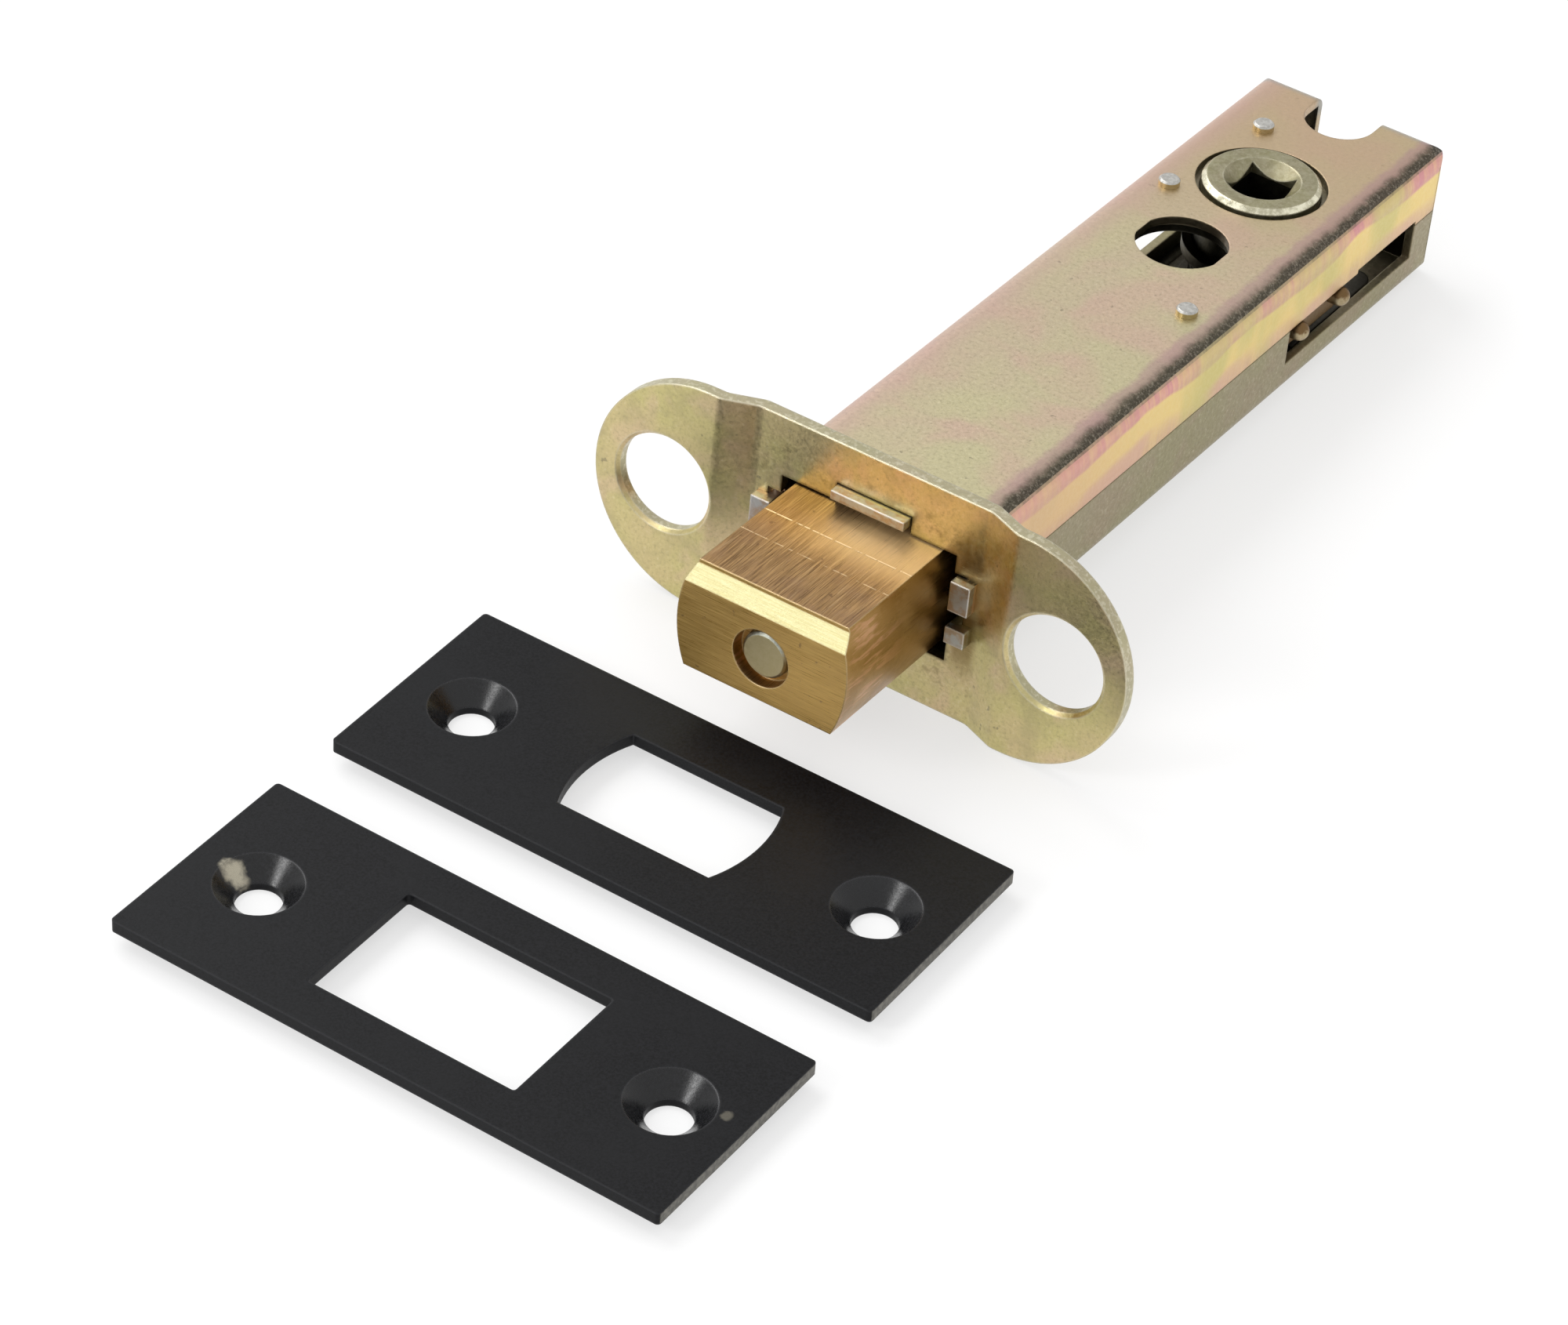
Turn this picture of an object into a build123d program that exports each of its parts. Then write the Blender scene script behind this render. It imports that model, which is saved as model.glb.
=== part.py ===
import os
from math import atan, cos, sin, sqrt

from build123d import *

os.makedirs("parts", exist_ok=True)

# Tubular deadbolt, bolt thrown, with its cover plate and strike plate beside it.
# Origin on the follower's axis at mid-depth of the case.
# +X runs along the forend, +Y towards the tail, +Z along the spindle. Millimetres.

# Case: two folded shells that meet at a seam
case_width = 21.0
case_depth = 14.6
shell_sheet = 0.9
bend_radius = 2.0
seam_height = 0.3
seam_gap = 0.12
backset = 70.0
tail_length = 18.5

# Forend: pressed plate with round ends, ears joggled forward of its middle
forend_length = 56.4
forend_height = 23.3
forend_sheet = 1.25
joggle = 1.4
joggle_inner = 12.2
joggle_outer = 15.6
joggle_radius = 1.8
forend_cut = 5.0
forend_hole_radius = 4.85
forend_hole_inset = 7.35
forend_hole_edge = 0.35

# Lugs of the shells, staked through the forend
lug_stand = 1.2
left_lug_drop = 0.6
side_lug_turnout = 1.1
top_lug_width = 7.7
top_lug_shift = 0.4
upper_side_lug = (0.5, 3.6)
lower_side_lug = (-3.0, -1.3)
lug_clearance = 0.12

# Follower and its square
hub_radius = 5.86
hub_stand = 0.6
hub_rim_chamfer = 0.45
hub_sink_radius = 3.8
hub_sink_depth = 1.5
hub_neck_radius = 4.1
spindle_square = 5.0
shell_hub_gap = 0.6
journal_clearance = 0.06

# Fixing holes through the case, one before the hub and one behind it
fixing_hole_radius = 4.5
fixing_hole_flat = 4.3
fixing_flat_length = 5.4
fixing_flat_depth = 1.0
bearing_hole_margin = 0.4
fixing_hole_back = 14.2
fixing_hole_shift = -0.5
notch_radius = 3.6
notch_centre = 15.5

# Windows in the lower shell's side walls
window_front = -10.7
window_rear = 13.9
window_depth = 3.8
relief_front = 2.4
relief_height = 0.4
flange_slit = 0.12
tail_bend_radius = 1.4
tail_corner_radius = 1.1

# Bolt: flat above and below, rounded at its sides
bolt_travel = 12.6
bolt_side_clearance = 0.7
bolt_height = 10.8
bolt_drop = 0.4
opening_drop = 0.2
bolt_side_radius = 13.5
bolt_length = 44.0
bolt_proud = 0.9
bolt_bevel_back = 1.2
bolt_bevel_down = 1.5
forend_clearance = 0.35
hardened_pin_radius = 2.3
hardened_pin_length = 30.0
pin_recess_radius = 2.9
pin_recess_depth = 1.4
pin_set_back = 0.5
pin_drop = 1.0
pin_end_gap = 0.1
pin_chamfer = 0.25

# Slide: plate behind the bolt that passes the follower as one rail with a jaw
slide_sheet = 1.2
slide_top = -0.7
hub_rail_clearance = 0.34
web_clearance = 0.2
tongue_inset = 2.9
tongue_length = 8.4
slot_gap = 0.1
web_gap = 0.3
slide_pin_radius = 1.25
slide_pin_sink = 0.1
slide_pin_spacing = 7.0
fixing_clearance = 0.6
jaw_finger = 1.3

# Side plate on the rail, and the round-ended guide pins that it carries in the window
side_plate_sheet = 0.5
side_plate_clearance = 0.15
side_plate_top = 0.45
side_plate_bottom = -2.8
side_plate_margin = 1.1
side_plate_corner = 0.5
guide_pin_radius = 1.0
guide_pin_shank = 0.6
guide_pin_height = -0.87
guide_pin_spacing = 7.9
guide_pin_setback = 0.2
front_guide_y = -8.35

# Drive arm and pin: they swing with the follower and carry the slide
slot_rim = 0.4
arm_sheet = 1.2
arm_gap = 0.2
arm_collar_radius = 6.9
arm_tip_radius = 0.95
drive_pin_radius = 0.65
slot_clearance = 0.45
slot_end_clearance = 0.1
drive_pin_proud = 0.3
neck_clearance = 0.3

# Bearing plates under the shells, and their rivets
bearing_sheet = 1.0
bearing_side_gap = 1.3
bearing_front = -27.0
bearing_rear = 11.3
bearing_corner = 1.5
rear_rivet_inset = 5.5
rear_rivet_y = 8.9
middle_rivet_inset = 3.7
middle_rivet_y = -6.1
front_rivet_inset = 4.4
front_rivet_y = -24.4
rivet_head_radius = 1.05
rivet_head_height = 0.7
base_rivet_height = 0.4
rivet_shank_radius = 0.85
rivet_foot_height = 0.5
rivet_clearance = 0.04
rivet_chamfer = 0.18

# Friction spring under the right rail
spring_sheet = 0.35
spring_width = 2.2
spring_side_gap = 0.1
spring_foot_y = -19.0
spring_foot_length = 3.6
spring_peak_y = -9.2
spring_toe_y = -5.9
spring_toe_drop = 1.0
spring_bend_radius = 2.0
spring_rail_gap = 0.1
spring_slot_margin = 0.8
spring_rivet_radius = 0.7
spring_rivet_head = 0.35

# Retaining rings on the follower
ring_sheet = 0.7
ring_depth = 0.6
ring_outer_radius = 7.2
ring_opening = 3.0
ring_gap = 0.05
ring_plate_gap = 0.1

# Cover plate and strike plate: thin plates with pressed countersinks
plate_length = 56.6
plate_width = 22.4
plate_sheet = 1.2
plate_corner = 0.4
plate_hole_spacing = 42.8
plate_hole_radius = 2.1
sink_radius = 4.0
sink_reach = 2.6
sink_wall = 1.0
cover_clearance = 0.3
strike_opening_length = 21.4
strike_opening_width = 13.75
strike_opening_corner = 0.3
cover_gap = 0.2
cover_shift = -0.6
strike_gap = 7.4
strike_shift = -0.9
strike_turn = -0.34

# Dependent sizes
half_width = case_width / 2
half_depth = case_depth / 2
inner_half_width = half_width - shell_sheet
inner_half_depth = half_depth - shell_sheet
ear_front = -backset
bolt_width = 2 * (inner_half_width - bolt_side_clearance)
forend_hole_spacing = forend_length - 2 * forend_hole_inset
middle_front = ear_front + joggle
case_front = middle_front + forend_sheet
lug_front = middle_front - lug_stand
bolt_nose = ear_front - plate_sheet - bolt_proud - bolt_travel
bolt_rear = bolt_nose + bolt_length
rail_inner = hub_radius + hub_rail_clearance
rail_outer = inner_half_width - side_plate_clearance - side_plate_sheet
side_plate_outer = rail_outer + side_plate_sheet
web_half_width = inner_half_width - web_clearance
crank_radius = rail_outer - slot_rim - slot_end_clearance - drive_pin_radius
drive_y = -bolt_travel / 2
drive_x = sqrt(crank_radius**2 - drive_y**2)
slide_bottom = slide_top - slide_sheet
arm_bottom = slide_top + arm_gap
arm_top = arm_bottom + arm_sheet
jaw_inner = hub_neck_radius + neck_clearance
guide_ys = [front_guide_y, front_guide_y + guide_pin_spacing]
side_plate_front = guide_ys[0] - side_plate_margin
slide_rear = guide_ys[1] + side_plate_margin
guide_pin_reach = half_width - guide_pin_setback
slide_gap_front = -fixing_hole_back - fixing_hole_radius - bolt_travel - fixing_clearance
slide_pin_places = [
    (-slide_pin_spacing / 2, bolt_rear - tongue_length / 2),
    (slide_pin_spacing / 2, bolt_rear - tongue_length / 2),
]
web_front = bolt_rear + web_gap
bearing_inner = inner_half_depth - bearing_sheet
bearing_half_width = inner_half_width - bearing_side_gap
spring_x = half_width - bend_radius - spring_side_gap - spring_width / 2
rivet_places = [
    (rear_rivet_inset - half_width, rear_rivet_y),
    (middle_rivet_inset - half_width, middle_rivet_y),
    (half_width - front_rivet_inset, front_rivet_y),
]
hub_end = half_depth + hub_stand
ring_top = bearing_inner - ring_plate_gap
ring_hub_radius = hub_radius - ring_depth
groove_bottom = ring_top - ring_sheet


def shell(sign, seam, side_lug, name):
    """One folded shell; sign is +1 for the upper shell and -1 for the lower."""
    length = tail_length - case_front
    inner_radius = bend_radius - shell_sheet
    with BuildPart() as part:
        with BuildSketch(Plane.XZ.offset(-tail_length)):
            RectangleRounded(case_width, case_depth, bend_radius)
        extrude(amount=length)
        # the flat rolls over into the end flange at the tail
        with BuildSketch(Plane.YZ) as side_view:
            with Locations((tail_length - length / 2, 0)):
                Rectangle(length, case_depth)
            fillet(side_view.vertices().group_by(Axis.X)[-1], tail_bend_radius)
        extrude(amount=case_width, both=True, mode=Mode.INTERSECT)
        with BuildSketch(Plane.XY) as plan:
            with Locations((0, tail_length - length / 2)):
                Rectangle(case_width, length)
            fillet(plan.vertices().group_by(Axis.Y)[-1], tail_corner_radius)
        extrude(amount=case_depth, both=True, mode=Mode.INTERSECT)
        with BuildSketch(Plane.XZ.offset(-tail_length + shell_sheet)):
            RectangleRounded(2 * inner_half_width, 2 * inner_half_depth, inner_radius)
        extrude(amount=length, mode=Mode.SUBTRACT)
        # keep the half beyond the seam
        with Locations((0, (tail_length + case_front) / 2, seam)):
            Box(2 * case_width, 2 * length, case_depth, mode=Mode.SUBTRACT,
                align=(Align.CENTER, Align.CENTER, Align.MAX if sign > 0 else Align.MIN))
        # front lugs: one from the flat, one from each side wall
        lug_length = case_front - lug_front
        lug_y = (case_front + lug_front) / 2
        with Locations((top_lug_shift, lug_y, sign * (half_depth - shell_sheet / 2))):
            Box(top_lug_width, lug_length, shell_sheet)
        # the side lugs turn out over the forend's face
        for x, drop in ((-1, left_lug_drop if sign > 0 else 0), (1, 0)):
            side_z = (side_lug[0] + side_lug[1]) / 2 - drop
            with Locations((x * (half_width - shell_sheet / 2), lug_y, side_z)):
                Box(shell_sheet, lug_length, side_lug[1] - side_lug[0])
            with Locations((x * (half_width + side_lug_turnout / 2), lug_front + lug_stand / 2, side_z)):
                Box(side_lug_turnout, lug_stand, side_lug[1] - side_lug[0])
        # openings in the flat: hub, front fixing hole, rear notch and rivets
        with BuildSketch(Plane.XY.offset(-case_depth)):
            Circle(hub_radius + shell_hub_gap)
            with Locations((fixing_hole_shift, -fixing_hole_back)):
                Circle(fixing_hole_radius)
            with Locations((0, notch_centre)):
                Circle(notch_radius)
            with Locations((0, notch_centre + tail_length / 2)):
                Rectangle(2 * notch_radius, tail_length)
            with Locations(*rivet_places):
                Circle(rivet_shank_radius + rivet_clearance)
        extrude(amount=2 * case_depth, mode=Mode.SUBTRACT)
        # flats of the front fixing hole
        for x in (-1, 1):
            with Locations((fixing_hole_shift + x * (fixing_hole_flat + fixing_flat_depth / 2),
                            -fixing_hole_back, sign * (half_depth - shell_sheet / 2))):
                Box(fixing_flat_depth, fixing_flat_length, shell_sheet)
        # slits between the side walls and the end flanges
        slit_depth = half_depth - sign * seam - bend_radius
        for x in (-1, 1):
            with Locations((x * half_width, tail_length - shell_sheet - flange_slit, seam)):
                Box(2 * shell_sheet, flange_slit, 2 * slit_depth, mode=Mode.SUBTRACT)
        if sign < 0:
            # side windows, open to the seam, and the friction spring's rivet hole
            with Locations((0, (window_front + window_rear) / 2, seam)):
                Box(2 * case_width, window_rear - window_front, 2 * window_depth, mode=Mode.SUBTRACT)
            with Locations((spring_x, spring_foot_y + spring_foot_length / 2, -half_depth)):
                Cylinder(spring_rivet_radius + rivet_clearance, 4 * shell_sheet, mode=Mode.SUBTRACT)
        else:
            # reliefs over the rear part of the windows
            with Locations((0, (relief_front + window_rear) / 2, seam)):
                Box(2 * case_width, window_rear - relief_front, 2 * relief_height, mode=Mode.SUBTRACT)
    part.part.label = name
    export_step(part.part, f"parts/{name}.step")


shell(+1, seam_height + seam_gap / 2, upper_side_lug, "upper_shell")
shell(-1, seam_height - seam_gap / 2, lower_side_lug, "lower_shell")

# Forend: the joggled strip, cut to its round-ended outline
joggle_points = [
    (-forend_length / 2, ear_front), (-joggle_outer, ear_front), (-joggle_inner, middle_front),
    (joggle_inner, middle_front), (joggle_outer, ear_front), (forend_length / 2, ear_front),
]
back_points = [(x, y + forend_sheet) for x, y in joggle_points]
with BuildPart() as forend:
    with BuildSketch(Plane.XY):
        with BuildLine():
            FilletPolyline(*joggle_points, radius=joggle_radius)
            FilletPolyline(*back_points, radius=joggle_radius)
            Line(joggle_points[0], back_points[0])
            Line(joggle_points[-1], back_points[-1])
        make_face()
    extrude(amount=forend_height / 2, both=True)
    with BuildSketch(Plane.XZ.offset(-ear_front)):
        SlotOverall(forend_length, forend_height)
    extrude(amount=forend_cut, both=True, mode=Mode.INTERSECT)
    with BuildSketch(Plane.XZ.offset(-ear_front)):
        with Locations((0, -opening_drop)):
            Rectangle(bolt_width + 2 * forend_clearance, bolt_height + 2 * forend_clearance)
        with Locations((top_lug_shift, 0)):
            Rectangle(top_lug_width + 2 * lug_clearance, case_depth + 2 * lug_clearance)
        lug_span = upper_side_lug[1] - lower_side_lug[0] + 2 * lug_clearance
        with Locations((0, (upper_side_lug[1] + lower_side_lug[0]) / 2)):
            Rectangle(case_width + 2 * lug_clearance, lug_span)
        with Locations((-forend_hole_spacing / 2, 0), (forend_hole_spacing / 2, 0)):
            Circle(forend_hole_radius)
    extrude(amount=forend_cut, both=True, mode=Mode.SUBTRACT)
    hole_rims = (forend.faces().group_by(Axis.Y)[0].edges().filter_by(GeomType.CIRCLE)
                 .filter_by(lambda e: e.radius < forend_height / 3))
    chamfer(hole_rims, forend_hole_edge)
forend.part.label = "forend"
export_step(forend.part, "parts/forend.step")


def bolt_section(width, height, radius):
    """Flat above and below, sides as arcs; drawn about the bolt's axis."""
    side_x = width / 2 - radius + sqrt(radius**2 - (height / 2) ** 2)
    with BuildSketch(Plane.XZ) as section:
        with BuildLine():
            Line((-side_x, height / 2), (side_x, height / 2))
            ThreePointArc((side_x, height / 2), (width / 2, 0), (side_x, -height / 2))
            Line((side_x, -height / 2), (-side_x, -height / 2))
            ThreePointArc((-side_x, -height / 2), (-width / 2, 0), (-side_x, height / 2))
        make_face()
    return section.sketch


# Bolt: bevelled at its upper front edge, drilled for the hardened pin, slotted behind
bolt_profile = bolt_section(bolt_width, bolt_height, bolt_side_radius)
bolt_top = bolt_height / 2 - bolt_drop
with BuildPart() as bolt:
    with BuildSketch(Plane.XZ.offset(-bolt_nose)):
        with Locations((0, -bolt_drop)):
            add(bolt_profile)
    extrude(amount=-bolt_length)
    with BuildSketch(Plane.YZ):
        with BuildLine():
            Polyline((bolt_nose, bolt_top - bolt_bevel_down), (bolt_nose, bolt_height),
                     (bolt_nose + bolt_bevel_back, bolt_height),
                     (bolt_nose + bolt_bevel_back, bolt_top), close=True)
        make_face()
    extrude(amount=bolt_width, both=True, mode=Mode.SUBTRACT)
    with BuildSketch(Plane.XZ.offset(-bolt_nose)):
        with Locations((0, -pin_drop)):
            Circle(pin_recess_radius)
    extrude(amount=-pin_recess_depth, mode=Mode.SUBTRACT)
    with BuildSketch(Plane.XZ.offset(-bolt_nose)):
        with Locations((0, -pin_drop)):
            Circle(hardened_pin_radius + rivet_clearance)
    extrude(amount=-(hardened_pin_length + pin_set_back + pin_end_gap), mode=Mode.SUBTRACT)
    with Locations((0, bolt_rear - tongue_length / 2, (slide_top + slide_bottom) / 2)):
        Box(bolt_width, tongue_length + 2 * slot_gap, slide_sheet + 2 * slot_gap, mode=Mode.SUBTRACT)
    with Locations(*slide_pin_places):
        Cylinder(slide_pin_radius + rivet_clearance, 2 * bolt_height, mode=Mode.SUBTRACT)
bolt.part.label = "bolt"
export_step(bolt.part, "parts/bolt.step")

with BuildPart() as hardened_pin:
    with BuildSketch(Plane.XZ.offset(-(bolt_nose + pin_set_back))):
        with Locations((0, -pin_drop)):
            Circle(hardened_pin_radius)
    extrude(amount=-hardened_pin_length)
    chamfer(hardened_pin.faces().sort_by(Axis.Y)[0].edges(), pin_chamfer)
hardened_pin.part.label = "hardened_pin"
export_step(hardened_pin.part, "parts/hardened_pin.step")

# Slide: tongue in the bolt, web, one rail, and a jaw that the drive pin works in
slot_half_width = drive_pin_radius + slot_clearance
slot_outer = crank_radius + drive_pin_radius + slot_end_clearance
jaw_half_length = slot_half_width + jaw_finger
with BuildPart() as slide:
    with BuildSketch(Plane.XY.offset(slide_bottom)):
        with Locations((0, (bolt_rear - tongue_length + web_front) / 2 + slot_gap)):
            Rectangle(bolt_width - 2 * tongue_inset, tongue_length + web_front - bolt_rear)
        with Locations((0, (web_front + slide_gap_front) / 2)):
            Rectangle(2 * web_half_width, slide_gap_front - web_front)
        with Locations(((rail_inner + rail_outer) / 2, (web_front + slide_rear) / 2)):
            Rectangle(rail_outer - rail_inner, slide_rear - web_front)
        with Locations(((jaw_inner + rail_outer) / 2, drive_y)):
            Rectangle(rail_outer - jaw_inner, 2 * jaw_half_length)
        with Locations((slot_outer - crank_radius / 2, drive_y)):
            Rectangle(crank_radius, 2 * slot_half_width, mode=Mode.SUBTRACT)
        with Locations(*slide_pin_places):
            Circle(slide_pin_radius + rivet_clearance, mode=Mode.SUBTRACT)
    extrude(amount=slide_sheet)
slide.part.label = "slide"
export_step(slide.part, "parts/slide.step")

with BuildPart() as slide_pins:
    with BuildSketch(Plane.XY.offset(slide_pin_sink - bolt_height / 2 - bolt_drop)):
        with Locations(*slide_pin_places):
            Circle(slide_pin_radius)
    extrude(amount=bolt_height - 2 * slide_pin_sink)
slide_pins.part.label = "slide_pins"
export_step(slide_pins.part, "parts/slide_pins.step")

# Side plate: stands on the rail's outer edge and carries the two guide pins
with BuildPart() as side_plate:
    with BuildSketch(Plane.YZ.offset(rail_outer)):
        with Locations(((side_plate_front + slide_rear) / 2, (side_plate_top + side_plate_bottom) / 2)):
            RectangleRounded(slide_rear - side_plate_front, side_plate_top - side_plate_bottom,
                              side_plate_corner)
        with Locations(*[(y, guide_pin_height) for y in guide_ys]):
            Circle(guide_pin_shank + rivet_clearance, mode=Mode.SUBTRACT)
    extrude(amount=side_plate_sheet)
side_plate.part.label = "side_plate"
export_step(side_plate.part, "parts/side_plate.step")

# Guide pins: turned to a round end that shows in the side window
with BuildPart() as guide_pins:
    for guide_y in guide_ys:
        with BuildSketch(Plane((0, guide_y, guide_pin_height))):
            with BuildLine():
                Polyline((guide_pin_reach, 0), (rail_outer, 0), (rail_outer, guide_pin_shank),
                         (side_plate_outer, guide_pin_shank), (side_plate_outer, guide_pin_radius),
                         (guide_pin_reach, guide_pin_radius))
                RadiusArc((guide_pin_reach, guide_pin_radius), (guide_pin_reach + guide_pin_radius, 0),
                          guide_pin_radius)
                Line((guide_pin_reach + guide_pin_radius, 0), (guide_pin_reach, 0))
            make_face()
        revolve(axis=Axis((0, guide_y, guide_pin_height), (1, 0, 0)))
guide_pins.part.label = "guide_pins"
export_step(guide_pins.part, "parts/guide_pins.step")

# Follower: turned hub with a countersunk square, grooved for the retaining ring
with BuildPart() as follower:
    Cylinder(hub_radius, 2 * hub_end)
    chamfer(follower.edges().filter_by(GeomType.CIRCLE), hub_rim_chamfer)
    sink_half = hub_sink_radius - hub_sink_depth
    with Locations((0, 0, hub_end - hub_sink_depth / 2)):
        Cone(sink_half, hub_sink_radius, hub_sink_depth, mode=Mode.SUBTRACT)
    with Locations((0, 0, -hub_end + hub_sink_depth / 2)):
        Cone(hub_sink_radius, sink_half, hub_sink_depth, mode=Mode.SUBTRACT)
    with BuildSketch(Plane.XY.offset(-hub_end)):
        Rectangle(spindle_square, spindle_square)
    extrude(amount=2 * hub_end, mode=Mode.SUBTRACT)
    # two ring grooves, and a neck that lets the slide's jaw pass
    for groove_z in (groove_bottom, -ring_top):
        with BuildSketch(Plane.XY.offset(groove_z)):
            Circle(2 * hub_radius)
            Circle(ring_hub_radius, mode=Mode.SUBTRACT)
        extrude(amount=ring_sheet, mode=Mode.SUBTRACT)
    with BuildSketch(Plane.XY.offset(slide_bottom - arm_gap)):
        Circle(2 * hub_radius)
        Circle(hub_neck_radius, mode=Mode.SUBTRACT)
    extrude(amount=slide_sheet + 2 * arm_gap, mode=Mode.SUBTRACT)
follower.part.label = "follower"
export_step(follower.part, "parts/follower.step")

# Drive arm: a collar on the hub with an arm that carries the drive pin
with BuildPart() as drive_arm:
    with BuildSketch(Plane.XY.offset(arm_bottom)):
        with BuildLine():
            Line((0, 0), (drive_x, drive_y))
        trace(line_width=2 * arm_tip_radius)
        Circle(arm_collar_radius)
        with Locations((drive_x, drive_y)):
            Circle(arm_tip_radius)
            Circle(drive_pin_radius + rivet_clearance, mode=Mode.SUBTRACT)
        Circle(hub_radius + rivet_clearance, mode=Mode.SUBTRACT)
    extrude(amount=arm_sheet)
drive_arm.part.label = "drive_arm"
export_step(drive_arm.part, "parts/drive_arm.step")

with BuildPart() as drive_pin:
    with Locations((drive_x, drive_y, arm_top)):
        Cylinder(drive_pin_radius, arm_top - slide_bottom + drive_pin_proud,
                 align=(Align.CENTER, Align.CENTER, Align.MAX))
drive_pin.part.label = "drive_pin"
export_step(drive_pin.part, "parts/drive_pin.step")

# Retaining rings: open rings in the hub's grooves, one inside each bearing plate
with BuildPart() as retaining_rings:
    for groove_z in (groove_bottom, -ring_top):
        with BuildSketch(Plane.XY.offset(groove_z + ring_gap)):
            Circle(ring_outer_radius)
            Circle(ring_hub_radius + rivet_clearance, mode=Mode.SUBTRACT)
            with Locations((0, ring_outer_radius)):
                Rectangle(ring_opening, ring_outer_radius, mode=Mode.SUBTRACT)
        extrude(amount=ring_sheet - 2 * ring_gap)
retaining_rings.part.label = "retaining_rings"
export_step(retaining_rings.part, "parts/retaining_rings.step")


def bearing_plate(sign, name):
    """Inner plate that carries one end of the follower."""
    bottom = bearing_inner if sign > 0 else -inner_half_depth
    with BuildPart() as plate:
        with BuildSketch(Plane.XY.offset(bottom)):
            with Locations((0, (bearing_front + bearing_rear) / 2)):
                RectangleRounded(2 * bearing_half_width, bearing_rear - bearing_front,
                                 bearing_corner)
            Circle(hub_radius + journal_clearance, mode=Mode.SUBTRACT)
            with Locations((fixing_hole_shift, -fixing_hole_back)):
                Circle(fixing_hole_radius + bearing_hole_margin, mode=Mode.SUBTRACT)
            with Locations(*rivet_places):
                Circle(rivet_shank_radius + rivet_clearance, mode=Mode.SUBTRACT)
            if sign < 0:
                with Locations((spring_x, (spring_foot_y + spring_toe_y) / 2)):
                    Rectangle(spring_width + 2 * spring_slot_margin,
                              spring_toe_y - spring_foot_y + 2 * spring_slot_margin,
                              mode=Mode.SUBTRACT)
        extrude(amount=bearing_sheet)
    plate.part.label = name
    export_step(plate.part, f"parts/{name}.step")


bearing_plate(+1, "upper_bearing_plate")
bearing_plate(-1, "lower_bearing_plate")


def rivets(sign, head_height, name):
    """Three rivets through a shell and its bearing plate, formed head outside."""
    grip = shell_sheet + bearing_sheet
    with BuildPart() as group:
        with BuildSketch(Plane.XY.offset(sign * half_depth)):
            with Locations(*rivet_places):
                Circle(rivet_head_radius)
        extrude(amount=sign * head_height)
        heads = group.faces().filter_by(Axis.Z).group_by(Axis.Z)[-1 if sign > 0 else 0]
        chamfer(heads.edges(), rivet_chamfer)
        with BuildSketch(Plane.XY.offset(sign * half_depth)):
            with Locations(*rivet_places):
                Circle(rivet_shank_radius)
        extrude(amount=-sign * (grip + rivet_foot_height))
        with BuildSketch(Plane.XY.offset(sign * (half_depth - grip))):
            with Locations(*rivet_places):
                Circle(rivet_head_radius)
        extrude(amount=-sign * rivet_foot_height)
    group.part.label = name
    export_step(group.part, f"parts/{name}.step")


rivets(+1, rivet_head_height, "upper_rivets")
rivets(-1, base_rivet_height, "lower_rivets")

# Friction spring: a bowed leaf, its foot riveted to the lower shell, its back near the rail
spring_floor = -inner_half_depth
spring_peak = slide_bottom - spring_rail_gap
spring_toe = spring_peak - spring_toe_drop
spring_lower = [
    (spring_foot_y, spring_floor), (spring_foot_y + spring_foot_length, spring_floor),
    (spring_peak_y, spring_peak - spring_sheet), (spring_toe_y, spring_toe - spring_sheet),
]
spring_upper = [(y, z + spring_sheet) for y, z in spring_lower]
with BuildPart() as friction_spring:
    with BuildSketch(Plane.YZ.offset(spring_x)):
        with BuildLine():
            FilletPolyline(*spring_lower, radius=spring_bend_radius)
            Line(spring_lower[3], spring_upper[3])
            FilletPolyline(*spring_upper, radius=spring_bend_radius)
            Line(spring_upper[0], spring_lower[0])
        make_face()
    extrude(amount=spring_width / 2, both=True)
    with Locations((spring_x, spring_foot_y + spring_foot_length / 2, spring_floor)):
        Cylinder(spring_rivet_radius + rivet_clearance, 4 * spring_sheet, mode=Mode.SUBTRACT)
friction_spring.part.label = "friction_spring"
export_step(friction_spring.part, "parts/friction_spring.step")

with BuildPart() as spring_rivet:
    with BuildSketch(Plane.XY.offset(-half_depth)):
        with Locations((spring_x, spring_foot_y + spring_foot_length / 2)):
            Circle(spring_rivet_radius)
    extrude(amount=shell_sheet + spring_sheet + spring_rivet_head)
    with BuildSketch(Plane.XY.offset(spring_floor + spring_sheet)):
        with Locations((spring_x, spring_foot_y + spring_foot_length / 2)):
            Circle(spring_rivet_radius + spring_rivet_head)
    extrude(amount=spring_rivet_head)
spring_rivet.part.label = "spring_rivet"
export_step(spring_rivet.part, "parts/spring_rivet.step")


# Surface that everything lies on: under the forend's lower edge and the tail's lower edge
rest_slope = (forend_height / 2 - half_depth) / (tail_length - case_front)
rest_angle = atan(rest_slope)
rest_drop = half_depth + rest_slope * tail_length


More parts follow.
